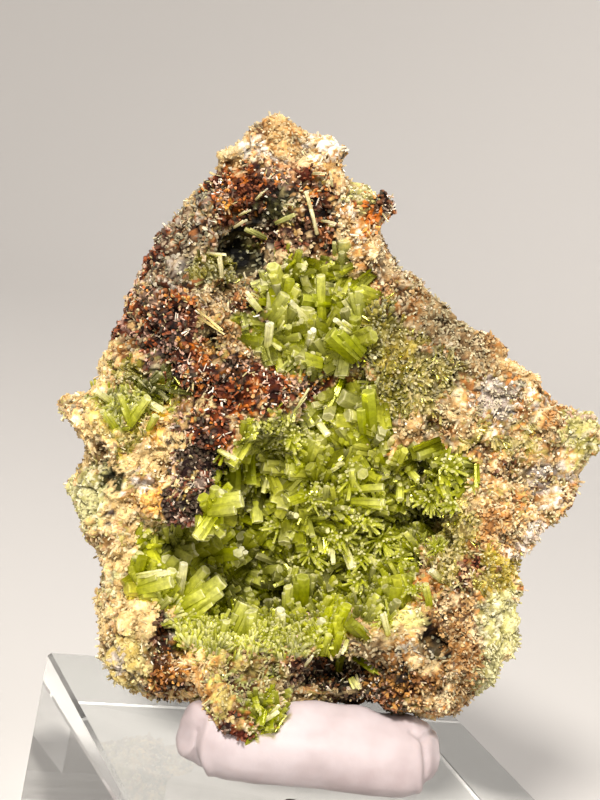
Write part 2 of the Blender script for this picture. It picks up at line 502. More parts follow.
def points_of(mesh):
    points = np.empty(len(mesh.vertices) * 3, np.float32)
    mesh.vertices.foreach_get("co", points)
    return points.reshape(-1, 3).astype(float) / MM


def normals_of(mesh):
    normals = np.empty(len(mesh.vertices) * 3, np.float32)
    mesh.vertices.foreach_get("normal", normals)
    return normals.reshape(-1, 3).astype(float)


def triangles_of(mesh):
    mesh.calc_loop_triangles()
    corners = np.empty(len(mesh.loop_triangles) * 3, np.int32)
    mesh.loop_triangles.foreach_get("vertices", corners)
    return corners.reshape(-1, 3)


def move_points(mesh, points):
    mesh.vertices.foreach_set("co", (points * MM).astype(np.float32).ravel())
    mesh.update()


def reworked(source, *steps):
    """A new mesh: the source mesh after these modifiers, each given as a type and its settings."""
    helper = put_in_scene("helper", source)
    for kind, settings in steps:
        step = helper.modifiers.new(kind, kind)
        for key, value in settings.items():
            setattr(step, key, value)
    graph = bpy.context.evaluated_depsgraph_get()
    made = bpy.data.meshes.new_from_object(helper.evaluated_get(graph))
    bpy.data.objects.remove(helper)
    return made


def unit(vectors):
    return vectors / np.maximum(np.linalg.norm(vectors, axis=-1, keepdims=True), 1e-9)


def ring_quads(sides, bands):
    """The corners of the faces between rings of points, where each ring has this many sides."""
    ring = np.arange(sides)
    after = (ring + 1) % sides
    one_band = np.stack([ring, after, after + sides, ring + sides], axis=1)
    return np.concatenate([one_band + band * sides for band in range(bands)])


def side_axes(directions):
    """Two axes square to each direction."""
    helper = np.where(np.abs(directions[:, 2:3]) > 0.9, (1.0, 0.0, 0.0), (0.0, 0.0, 1.0))
    first = unit(np.cross(directions, helper))
    return first, np.cross(directions, first)


# Rows of height share, radius share and tone, from foot to tip. The tones are 0 foot, 1 side and 2 end.
GRAND_PRISM = ((0.0, 0.88, 0.0), (0.5, 1.0, 0.7), (0.955, 0.99, 1.2), (1.0, 0.91, 2.0), (1.0, 0.68, 1.45))
FULL_PRISM = ((0.0, 0.88, 0.0), (0.93, 1.0, 1.15), (1.0, 0.90, 2.0))
SMALL_PRISM = ((0.0, 0.9, 0.0), (0.9, 1.0, 1.1), (1.0, 0.88, 2.0))
GRAIN = ((0.0, 0.9, 0.0), (1.0, 0.88, 2.0))
ROD = ((0.0, 1.0, 0.3), (1.0, 0.92, 2.0))
# The ends' slope starts above this share of the height.
SLOPED_FROM = 0.6


def crystals(name, feet, directions, lengths, widths, tints, rows, sides, flat=0.25, slope=0.08):
    """One joined mesh of straight prisms. widths are across the flats, slope tilts the ends.

    tints holds the colours of the feet, of the sides near the tip and of the flat ends.
    """
    foot_tints, side_tints, end_tints = tints
    count = len(feet)
    first, second = side_axes(directions)
    turn = rng.uniform(0, 2 * math.pi, count)
    squeeze = 1 - flat * rng.random(count)
    lean = slope * rng.normal(0, 1, (count, 2))
    angles = np.arange(sides) * 2 * math.pi / sides
    points = np.zeros((count, len(rows), sides, 3))
    colours = np.zeros((count, len(rows), sides, 3))
    for level, (height, radius, tone) in enumerate(rows):
        for corner, angle in enumerate(angles):
            across = np.cos(angle) * radius * widths / 2
            over = np.sin(angle) * radius * widths / 2 * squeeze
            x = across * np.cos(turn) - over * np.sin(turn)
            y = across * np.sin(turn) + over * np.cos(turn)
            z = height * lengths
            if height > SLOPED_FROM:
                z = z + (lean[:, 0] * across + lean[:, 1] * over)
            points[:, level, corner] = (
                feet + directions * z[:, None] + first * x[:, None] + second * y[:, None]
            )
        low, high = (foot_tints, side_tints) if tone < 1 else (side_tints, end_tints)
        share = tone if tone < 1 else tone - 1
        colours[:, level] = (low * (1 - share) + high * share)[:, None, :]
    quads = ring_quads(sides, len(rows) - 1)
    corners = np.concatenate([quads.ravel(), (len(rows) - 1) * sides + np.arange(sides)])
    loops = np.tile(corners, (count, 1)) + np.arange(count)[:, None] * len(rows) * sides
    sizes = np.tile(np.concatenate([np.full(len(quads), 4), [sides]]), count)
    return mesh_from(name, points.reshape(-1, 3), loops.ravel(), sizes, colours.reshape(-1, 3))


# A neighbour's distance, tone, length and width, as shares of its crystal's own, and how it leans.
NEAR_BY = (0.3, 0.55)
NEAR_TONE = (0.75, 1.15)
NEAR_LENGTH = (0.5, 0.98)
NEAR_WIDTH = (0.35, 0.7)
NEAR_LEAN = 0.05


def with_neighbours(feet, ways, lengths, widths, tints, copies):
    """The crystals, each with thinner and shorter ones grown along its sides."""
    first, second = side_axes(ways)
    grown = [(feet, ways, lengths, widths, *tints)]
    for _ in range(copies):
        angle = rng.uniform(0, 2 * math.pi, len(feet))
        reach = widths * rng.uniform(*NEAR_BY, len(feet))
        shift = (np.cos(angle) * reach)[:, None] * first + (np.sin(angle) * reach)[:, None] * second
        tone = rng.uniform(*NEAR_TONE, (len(feet), 1))
        grown.append((
            feet + shift,
            unit(ways + NEAR_LEAN * rng.normal(0, 1, ways.shape)),
            lengths * rng.uniform(*NEAR_LENGTH, len(feet)),
            widths * rng.uniform(*NEAR_WIDTH, len(feet)),
            *(np.clip(tint * tone, 0, 1) for tint in tints),
        ))
    feet, ways, lengths, widths, *tints = (np.concatenate(column) for column in zip(*grown))
    return feet, ways, lengths, widths, tints


# The rock

def filled_out(source):
    """A copy of the rock with LUMPS added."""
    shape = bmesh.new()
    shape.from_mesh(source)
    for u, v, w, *half in LUMPS:
        scale = (SIGHT_DISTANCE - w) / SIGHT_DISTANCE
        for vert in bmesh.ops.create_icosphere(shape, subdivisions=3, radius=1.0)["verts"]:
            place = np.array((u * scale, v * scale, w)) + np.array(vert.co) * np.array(half)
            vert.co = Vector(to_world(place) * MM)
    made = bpy.data.meshes.new("filled_out")
    shape.to_mesh(made)
    shape.free()
    return made


def shape_rock():
    """The CAD rock with fine lumps, grains and pits raised on it, and how light each point is."""
    fine = reworked(
        filled_out(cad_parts["limonite_matrix"].data),
        ("WELD", {"merge_threshold": WELD_GAP * MM}),
        ("REMESH", {"mode": "VOXEL", "voxel_size": FIRST_VOXEL * MM}),
        ("SMOOTH", {"factor": 0.6, "iterations": 5}),
        ("REMESH", {"mode": "VOXEL", "voxel_size": ROCK_VOXEL * MM}),
        ("SMOOTH", {"factor": 0.5, "iterations": 1}),
    )
    points, normals = points_of(fine), normals_of(fine)
    u, v, _ = as_seen(points)
    size, reach = ROCK_WARP
    warped = points + reach * np.stack([noise(points, size, 10 + k) - 0.5 for k in range(3)], axis=1)
    size, height = ROCK_SWELL
    raised = height * (noise(points, size, 2) - 0.5)
    size, height = ROCK_LUMP
    near, apart, _ = grains(warped, size, 3)
    crack = np.clip(1 - apart / CRACK_WIDTH, 0, 1)
    raised += height * (0.75 - near) - CRACK_DEPTH * crack
    knobs = np.zeros(len(points))
    for pu, pv, half_u, half_v, height in KNOBBLY:
        knobs = np.maximum(knobs, height * np.exp(-(((u - pu) / half_u) ** 2 + ((v - pv) / half_v) ** 2)))
    near, apart, _ = grains(warped, NODULE_SIZE, 6)
    raised += knobs * (0.9 - 1.5 * near)
    crack = np.maximum(crack, np.clip(1 - apart / CRACK_WIDTH, 0, 1) * np.clip(knobs * 1.5, 0, 1))
    size, height = ROCK_GRAIN
    near, _, number = grains(points, size, 8)
    raised += height * (0.6 - near + 0.5 * (number - 0.5))
    size, depth = ROCK_PIT
    raised -= depth * np.clip((noise(points, size, 14) - PIT_FROM) / PIT_RANGE, 0, 1)
    size, height = ROCK_ROUGH
    raised += height * (noise(points, size, 15) - 0.5)
    for pu, pv, radius, depth in HOLES:
        raised -= depth * np.exp(-((u - pu) ** 2 + (v - pv) ** 2) / radius**2) * (normals @ FACE[:, 2] > 0)
    move_points(fine, inside_outline(points + normals * (raised - ROCK_SHRINK)[:, None]))
    return fine, np.clip(0.95 + 0.35 * raised - 0.45 * crack, 0.22, 1.25)


def inside_outline(points):
    """The points, with those that show past the outline drawn in to it."""
    face = to_face(points)
    scale = SIGHT_DISTANCE / (SIGHT_DISTANCE - face[:, 2])
    seen = face[:, :2] * scale[:, None]
    nearest = np.zeros(seen.shape)
    least = np.full(len(seen), 1e9)
    crossings = np.zeros(len(seen), bool)
    for start, end in zip(OUTLINE, np.roll(OUTLINE, -1, axis=0)):
        side = end - start
        share = np.clip((seen - start) @ side / (side @ side), 0, 1)
        foot = start + share[:, None] * side
        apart = np.linalg.norm(seen - foot, axis=1)
        nearest = np.where((apart < least)[:, None], foot, nearest)
        least = np.minimum(least, apart)
        spans = (start[1] > seen[:, 1]) != (end[1] > seen[:, 1])
        height = side[1] if side[1] else 1e-9
        crossings ^= spans & (seen[:, 0] < start[0] + (seen[:, 1] - start[1]) * side[0] / height)
    depth_in = np.where(crossings, least, -least)
    inward = (seen - nearest) / np.maximum(least, 1e-6)[:, None] * np.where(crossings, 1, -1)[:, None]
    goal = seen + inward * np.clip(OUTLINE_INSET - depth_in, 0, None)[:, None]
    face[:, :2] = goal / scale[:, None]
    return to_world(face)


rock_mesh, rock_shade = shape_rock()
rock_points = points_of(rock_mesh)
rock_normals = normals_of(rock_mesh)
rock_triangles = triangles_of(rock_mesh)

rock_zones = zones(rock_points, rock_normals @ FACE[:, 2])
_, _, grain_number = grains(rock_points, TINT_GRAIN, 21)
rock_tints = palette_colours(rock_zones, clustered(rock_points, grain_number))
rock_cloud = 0.75 + 0.5 * noise(rock_points, TINT_CLOUD, 22)
rock_tints *= (rock_cloud * rock_shade * lightness(rock_points))[:, None]
rock_tints[is_one_of(rock_zones, GREENS)] *= UNDER_GREEN
rock_tints[is_one_of(rock_zones, BROWNS)] *= UNDER_BROWN
add_tints(rock_mesh, rock_tints)
rock_mesh.polygons.foreach_set("use_smooth", np.full(len(rock_mesh.polygons), False))

rock_tree = BVHTree.FromPolygons((rock_points * MM).tolist(), rock_triangles.tolist())
corner_a, corner_b, corner_c = (rock_points[rock_triangles[:, k]] for k in range(3))
crossed = np.cross(corner_b - corner_a, corner_c - corner_a)
triangle_areas = np.linalg.norm(crossed, axis=1) / 2
triangle_normals = unit(crossed)
soft_normals = unit(rock_normals[rock_triangles].mean(axis=1))
triangle_middles = (corner_a + corner_b + corner_c) / 3
triangle_zones = zones(triangle_middles, triangle_normals @ FACE[:, 2])
seen_u, seen_v, seen_w = as_seen(triangle_middles)
front_share = soft_normals @ FACE[:, 2]
SIGHT = to_world((0, 0, SIGHT_DISTANCE))


def pick_feet(count, weights):
    """Random spots on the rock, more of them where the weights are large: places, normals and triangles."""
    chance = triangle_areas * weights
    chosen = rng.choice(len(chance), size=count, p=chance / chance.sum())
    first, second = rng.random(count), rng.random(count)
    over = first + second > 1
    first, second = np.where(over, 1 - first, first), np.where(over, 1 - second, second)
    spots = (
        corner_a[chosen]
        + (corner_b - corner_a)[chosen] * first[:, None]
        + (corner_c - corner_a)[chosen] * second[:, None]
    )
    return spots, soft_normals[chosen], chosen


def scattered(normals, spread):
    """Directions round the normals."""
    return unit(normals + spread * rng.normal(0, 1, normals.shape))


def fanned(feet, normals, spacing, spread, seed):
    """Directions that fan out from cluster centres about spacing apart."""
    place = feet / spacing
    corner = np.floor(place).astype(np.int64)
    best = np.full(len(feet), 9.0)
    away = np.zeros(feet.shape)
    for step in product((-1, 0, 1), repeat=3):
        cell = corner + np.array(step)
        offset = place - cell - np.stack([hashed(cell, seed + k) for k in (1, 2, 3)], axis=1)
        apart = np.linalg.norm(offset, axis=1)
        away = np.where((apart < best)[:, None], offset, away)
        best = np.minimum(best, apart)
    away = away - normals * (away * normals).sum(axis=1, keepdims=True)
    return unit(normals * 0.5 + unit(away) * 0.75 + spread * rng.normal(0, 1, feet.shape))


def put_on(piece, slot_name, material, *nodes):
    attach(piece, "root")
    if nodes:
        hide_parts(*nodes)
    piece.data.materials.clear()
    piece.data.materials.append(material)


# Materials

# How often the clouds of tone and the relief repeat in a metre, and how high the relief is in mm.
ROCK_CLOUD, CRYSTAL_CLOUD, PUTTY_CLOUD, BLOCK_CLOUD = 2600.0, 1800.0, 160.0, 70.0
ROCK_RELIEF, CRYSTAL_RELIEF, PUTTY_RELIEF, BLOCK_RELIEF = 3200.0, 5200.0, 900.0, 90.0
ROCK_RISE, CRYSTAL_RISE, PUTTY_RISE, BLOCK_RISE = 0.3, 0.05, 0.1, 0.1


def add_node(tree, kind, **settings):
    made = tree.nodes.new(kind)
    for key, value in settings.items():
        if key in made.inputs:
            made.inputs[key].default_value = value
        else:
            setattr(made, key, value)
    return made


def set_inputs(node, values):
    for title, value in values.items():
        node.inputs[title].default_value = value


def new_group(name, inputs, output, kind):
    """An empty effect with these inputs, each a title and its socket's type, and one output."""
    group = bpy.data.node_groups.new(name, "ShaderNodeTree")
    for title, input_kind in inputs.items():
        group.interface.new_socket(title, in_out="INPUT", socket_type=input_kind)
    group.interface.new_socket(output, in_out="OUTPUT", socket_type=kind)
    return group, group.nodes.new("NodeGroupInput").outputs, group.nodes.new("NodeGroupOutput").inputs[output]


def cloudy_tint_effect():
    """A colour made darker and lighter by fine noise between two shares."""
    tree, given, result = new_group("cloudy_tint", {
        "Tint": "NodeSocketColor", "Scale": "NodeSocketFloat",
        "Darkest": "NodeSocketFloat", "Lightest": "NodeSocketFloat",
    }, "Colour", "NodeSocketColor")
    place = add_node(tree, "ShaderNodeTexCoord")
    cloud = add_node(tree, "ShaderNodeTexNoise", Detail=4.0, Roughness=0.6)
    spread = add_node(tree, "ShaderNodeMapRange")
    set_inputs(spread, {"From Min": 0.3, "From Max": 0.7})
    mixed = add_node(tree, "ShaderNodeVectorMath", operation="SCALE")
    tree.links.new(place.outputs["Object"], cloud.inputs["Vector"])
    tree.links.new(given["Scale"], cloud.inputs["Scale"])
    tree.links.new(cloud.outputs["Fac"], spread.inputs["Value"])
    tree.links.new(given["Darkest"], spread.inputs["To Min"])
    tree.links.new(given["Lightest"], spread.inputs["To Max"])
    tree.links.new(given["Tint"], mixed.inputs[0])
    tree.links.new(spread.outputs["Result"], mixed.inputs["Scale"])
    tree.links.new(mixed.outputs["Vector"], result)
    return tree


def fine_relief_effect():
    """The height of fine noise, for a bump."""
    tree, given, result = new_group("fine_relief", {
        "Scale": "NodeSocketFloat", "Detail": "NodeSocketFloat",
    }, "Height", "NodeSocketFloat")
    place = add_node(tree, "ShaderNodeTexCoord")
    rough = add_node(tree, "ShaderNodeTexNoise", Roughness=0.65)
    tree.links.new(place.outputs["Object"], rough.inputs["Vector"])
    tree.links.new(given["Scale"], rough.inputs["Scale"])
    tree.links.new(given["Detail"], rough.inputs["Detail"])
    tree.links.new(rough.outputs["Fac"], result)
    return tree


CLOUDY_TINT = cloudy_tint_effect()
FINE_RELIEF = fine_relief_effect()


def new_material(name, **values):
    """A material, its nodes and its shader with these values, whose titles have underscores here."""
    made = bpy.data.materials.new(name)
    made.use_nodes = True
    shader = made.node_tree.nodes["Principled BSDF"]
    set_inputs(shader, {title.replace("_", " "): value for title, value in values.items()})
    return made, made.node_tree, shader


def place_effect(tree, effect, **values):
    made = add_node(tree, "ShaderNodeGroup", node_tree=effect)
    set_inputs(made, values)
    return made


def add_tint(tree, shader, scale, darkest, lightest):
    """Colours the shader by the piece's own tint, with fine clouds in it."""
    tint = add_node(tree, "ShaderNodeAttribute", attribute_name="tint")
    cloudy = place_effect(tree, CLOUDY_TINT, Scale=scale, Darkest=darkest, Lightest=lightest)
    tree.links.new(tint.outputs["Color"], cloudy.inputs["Tint"])
    tree.links.new(cloudy.outputs["Colour"], shader.inputs["Base Color"])


def add_bump(tree, shader, scale, rise, strength, detail=5.0):
    relief = place_effect(tree, FINE_RELIEF, Scale=scale, Detail=detail)
    bump = add_node(tree, "ShaderNodeBump", Strength=strength, Distance=rise * MM)
    tree.links.new(relief.outputs["Height"], bump.inputs["Height"])
    tree.links.new(bump.outputs["Normal"], shader.inputs["Normal"])


def let_light_through(tree, shader, colour):
    """Makes the shader cast a clear shadow of this colour."""
    path = add_node(tree, "ShaderNodeLightPath")
    clear = add_node(tree, "ShaderNodeBsdfTransparent", Color=colour)
    both = add_node(tree, "ShaderNodeMixShader")
    tree.links.new(path.outputs["Is Shadow Ray"], both.inputs["Fac"])
    tree.links.new(shader.outputs["BSDF"], both.inputs[1])
    tree.links.new(clear.outputs["BSDF"], both.inputs[2])
    tree.links.new(both.outputs["Shader"], tree.nodes["Material Output"].inputs["Surface"])


def rock_material():
    made, tree, shader = new_material("rough_rock", Roughness=0.66, Specular_IOR_Level=0.18)
    add_tint(tree, shader, ROCK_CLOUD, 0.6, 1.3)
    add_bump(tree, shader, ROCK_RELIEF, ROCK_RISE, 0.6)
    return made


def crystal_material(
    name, clearness, ior, roughness, glint=(1, 1, 1), spread=(0.8, 1.2), bump=0.15, shadow=None,
):
    """A look for crystals. spread is the range of its clouds, shadow the colour of its shadows."""
    made, tree, shader = new_material(
        name, Roughness=roughness, IOR=ior, Transmission_Weight=clearness, Specular_Tint=(*glint, 1),
    )
    add_tint(tree, shader, CRYSTAL_CLOUD, *spread)
    add_bump(tree, shader, CRYSTAL_RELIEF, CRYSTAL_RISE, bump)
    if shadow:
        let_light_through(tree, shader, shadow)
    return made


# The green crystals glint yellowish and let yellow-green light into their shadows.
GREEN_LOOK = crystal_material(
    "green_crystal", 0.42, 1.54, 0.18, (1.0, 1.0, 0.25), (0.66, 1.3), 0.25, (0.62, 0.64, 0.08, 1),
)
DRUSE_LOOK = crystal_material("pale_druse", 0.25, 1.5, 0.36, (1.0, 0.96, 0.88))
ROD_LOOK = crystal_material("pale_rod", 0.0, 1.6, 0.3)
GRAIN_LOOK = crystal_material("rust_grain", 0.0, 1.55, 0.34, (1.0, 0.86, 0.7), bump=0.4)
put_on(put_in_scene("rough_matrix", rock_mesh), "matrix_rock", rock_material(), "limonite_matrix")

# Green crystals

# How far they lie over sideways, the most that they point at the camera, and the height below
# which they point upwards.
SIDE_TILT = 0.95
MOST_TOWARDS = 0.3
LOWER_RIM = -17.0
# The shares of white and pale-ended crystals, and how dark their feet are.
WHITE_SHARE = 0.07
PALE_SHARE = 0.42
FOOT_SHADE = 0.3
# How long the waves are in which their tilt, length and shade change over the crust.
TILT_WAVES = 5.0
LENGTH_WAVES = 4.0
SHADE_WAVES = 3.0
# The pocket above the band has more white crystals: u, v and its reach.
WHITER_POCKET = (2.0, 10.0, 7.0)

in_green = is_one_of(triangle_zones, GREENS)
green_weight = in_green * np.where(front_share > -0.75, 1.0, 0.1)


def lighter(colours, amount, towards=(238, 233, 190)):
    return colours * (1 - amount) + linear(towards) * amount


def tipped(feet, ways, normals):
    """The directions, tipped sideways in step with their neighbours, and upwards low in the vug."""
    _, v, _ = as_seen(feet)
    angle = 4 * math.pi * noise(feet, TILT_WAVES, 73)
    sideways = np.cos(angle)[:, None] * FACE[:, 0] + np.sin(angle)[:, None] * FACE[:, 1]
    upwards = np.clip((LOWER_RIM - v) / 5, 0, 1)[:, None]
    ways = unit(ways + SIDE_TILT * (sideways * (1 - upwards) + upwards * FACE[:, 1]))
    ways = unit(ways - FACE[:, 2] * np.clip(ways @ FACE[:, 2] - MOST_TOWARDS, 0, 1)[:, None])
    return unit(ways + normals * np.clip(0.25 - (ways * normals).sum(axis=1), 0, 1)[:, None])


# Where the crystals are coarser or finer than usual: u, v, reach, size.
COARSENESS = (
    (2.0, 10.0, 6.5, 1.1), (-12.5, -19.0, 6.0, 1.3), (-5.5, -13.5, 6.0, 1.2), (-5.0, -21.5, 5.0, 1.25),
    (7.2, -0.8, 4.0, 1.35), (5.0, -14.0, 5.5, 0.62), (12.0, -15.0, 5.0, 0.6), (15.0, -10.0, 4.0, 0.55),
    (-2.0, -3.6, 3.6, 0.7), (-5.0, -27.0, 8.0, 0.55), (31.0, -4.0, 5.0, 0.5), (6.8, 23.0, 3.0, 0.5),
    (-19.0, -1.0, 5.0, 0.7), (7.0, -21.0, 5.0, 0.9), (-15.4, 1.0, 3.0, 0.5), (-3.8, -35.0, 3.0, 0.55),
)


def coarseness(points):
    u, v, _ = as_seen(points)
    total, weight = np.ones(len(points)), np.ones(len(points))
    for pu, pv, reach, size in COARSENESS:
        share = 4 * np.exp(-(((u - pu) ** 2 + (v - pv) ** 2) / (0.6 * reach) ** 2))
        total += share * size
        weight += share
    return total / weight


triangle_size = coarseness(triangle_middles)


def green_prisms(name, count, weights, length_range, width_range, rows, spacing, spread, sink=0.5, copies=0):
    """Green crystals in clusters about spacing apart, sunk into the rock, each with its neighbours."""
    feet, normals, chosen = pick_feet(count, weights / triangle_size**1.6)
    ways = tipped(feet, fanned(feet, normals, spacing, spread, 71), normals)
    size = triangle_size[chosen]
    lengths = rng.uniform(*length_range, count) * (0.75 + 0.5 * noise(feet, LENGTH_WAVES, 72)) * size
    widths = rng.uniform(*width_range, count) * size
    base = palette_colours(triangle_zones[chosen], rng.random(count))
    base = base * ((0.6 + 0.8 * noise(feet, SHADE_WAVES, 74)) * lightness(feet))[:, None]
    pocket_u, pocket_v, reach = WHITER_POCKET
    in_pocket = np.exp(-(np.hypot(seen_u[chosen] - pocket_u, seen_v[chosen] - pocket_v) / reach) ** 2)
    is_white = rng.random(count) < WHITE_SHARE + 0.1 * in_pocket
    widths = np.where(is_white, 0.6 * widths, widths)
    in_deep = is_one_of(triangle_zones[chosen], ("deep_green",))
    is_pale = rng.random(count) < PALE_SHARE * np.where(in_deep, 0.3, 1.0)
    pale = np.where(is_pale, rng.uniform(0.5, 0.95, count), rng.uniform(0.02, 0.34, count))
    side_pale = np.where(is_white, 0.5, 0.16 * pale**2)[:, None]
    end_pale = np.where(is_white, 0.9, pale)[:, None]
    tints = base * FOOT_SHADE, lighter(base, side_pale), lighter(base, end_pale)
    feet, ways, lengths, widths, tints = with_neighbours(
        feet - ways * sink, ways, lengths + sink, widths, tints, copies,
    )
    made = crystals(name, feet, ways, lengths, widths, tints, rows, 6)
    put_on(made, "green_crystal", GREEN_LOOK)


in_rim = is_one_of(triangle_zones, ("pale_lime",))
in_olive = is_one_of(triangle_zones, ("olive", "olive_yellow", "olive_cream"))
lime_weight = green_weight * np.where(in_rim, 2.6, 1.0)
body_weight = green_weight * ~in_rim
thick_weight = body_weight * (triangle_size > 0.95)
olive_weight = np.where(in_olive & (front_share > 0), 1.0, 0.0)
green_prisms("lime_druse", 5400, lime_weight, (0.5, 1.3), (0.25, 0.52), SMALL_PRISM, 2.4, 0.34)
green_prisms("green_prisms", 1500, body_weight, (1.0, 2.3), (0.55, 1.05), FULL_PRISM, 3.6, 0.34, 0.7, 2)
green_prisms("thick_prisms", 330, thick_weight, (1.4, 2.7), (1.0, 1.7), GRAND_PRISM, 4.6, 0.28, 0.9, 4)
green_prisms("olive_druse", 1500, olive_weight, (0.3, 0.9), (0.2, 0.42), SMALL_PRISM, 2.2, 0.5, 0.25)

# Fans of fine crystals: u, v, length, count, width.
SPRAYS = (
    (4.2, -14.7, 2.7, 54, 0.34), (1.0, -17.0, 2.5, 44, 0.32), (1.4, -11.1, 2.3, 40, 0.28),
    (6.8, -13.0, 2.3, 44, 0.30), (9.0, -15.5, 2.3, 40, 0.30), (11.2, -17.8, 2.1, 34, 0.30),
    (11.0, -8.4, 2.6, 24, 0.55), (14.6, -10.8, 2.1, 40, 0.30), (13.8, -13.8, 2.1, 36, 0.28),
    (7.0, -20.0, 2.1, 30, 0.36), (-2.0, -14.0, 2.3, 30, 0.36), (8.4, -11.6, 2.1, 30, 0.32),
    (15.4, -17.0, 1.9, 34, 0.26), (5.6, -8.4, 2.3, 28, 0.40), (-1.0, -4.2, 1.9, 30, 0.34),
    (6.6, -17.2, 2.1, 34, 0.32), (12.6, -21.0, 1.8, 30, 0.28), (-0.6, -20.2, 2.0, 26, 0.42),
    (-8.8, -25.6, 1.6, 34, 0.36), (-3.6, -26.4, 1.6, 34, 0.34), (1.2, -26.2, 1.6, 30, 0.32),
    (10.0, -24.6, 1.7, 34, 0.28), (-12.6, -24.4, 1.6, 26, 0.36), (16.4, -7.4, 2.0, 26, 0.40),
    (17.2, -11.6, 1.8, 26, 0.34),
)
# How far their middles are off the rock and scattered, and the ranges of length, width and shade.
SPRAY_LIFT = 0.5
SPRAY_SCATTER = 0.25
SPRAY_LENGTH = (0.4, 1.1)
SPRAY_WIDTH = (0.7, 1.3)
SPRAY_SHADE = (0.65, 1.0)


def surface_at(u, v):
    """The first point of the rock seen at u, v, in face coordinates, and its normal, or None."""
    way = to_world((u, v, 0.0)) - SIGHT
    place, normal, index, _ = rock_tree.ray_cast(Vector(SIGHT * MM), Vector(way).normalized())
    return None if place is None else (to_face(np.array(place)[None] / MM)[0], soft_normals[index])


def sprays():
    """Crystals that radiate from the middles in SPRAYS."""
    feet, ways, lengths, widths, base = [], [], [], [], []
    green = palette_colours(np.array([PALETTE_NAMES.index("lime_yellow")]), np.zeros(1))[0]
    for u, v, length, count, width in SPRAYS:
        found = surface_at(u, v)
        if found is None:
            continue
        place, normal = found
        axis = unit(normal + FACE[:, 2] * 0.6)
        fan = unit(rng.normal(0, 1, (count, 3)))
        fan = fan + axis * (np.abs(fan @ axis) - fan @ axis + 0.25)[:, None]
        ways.append(unit(fan))
        middle = to_world(place[None]) + axis * SPRAY_LIFT
        feet.append(middle + SPRAY_SCATTER * rng.normal(0, 1, (count, 3)))
        lengths.append(length * rng.uniform(*SPRAY_LENGTH, count))
        widths.append(width * rng.uniform(*SPRAY_WIDTH, count))
        base.append(np.tile(green, (count, 1)) * rng.uniform(*SPRAY_SHADE, (count, 1)))
    feet, ways, base = np.concatenate(feet), np.concatenate(ways), np.concatenate(base)
    tints = base, lighter(base, 0.16), lighter(base, 0.7)
    made = crystals(
        "radiating_sprays", feet, ways, np.concatenate(lengths), np.concatenate(widths), tints, FULL_PRISM, 6,
    )
    put_on(made, "green_crystal", GREEN_LOOK)


sprays()

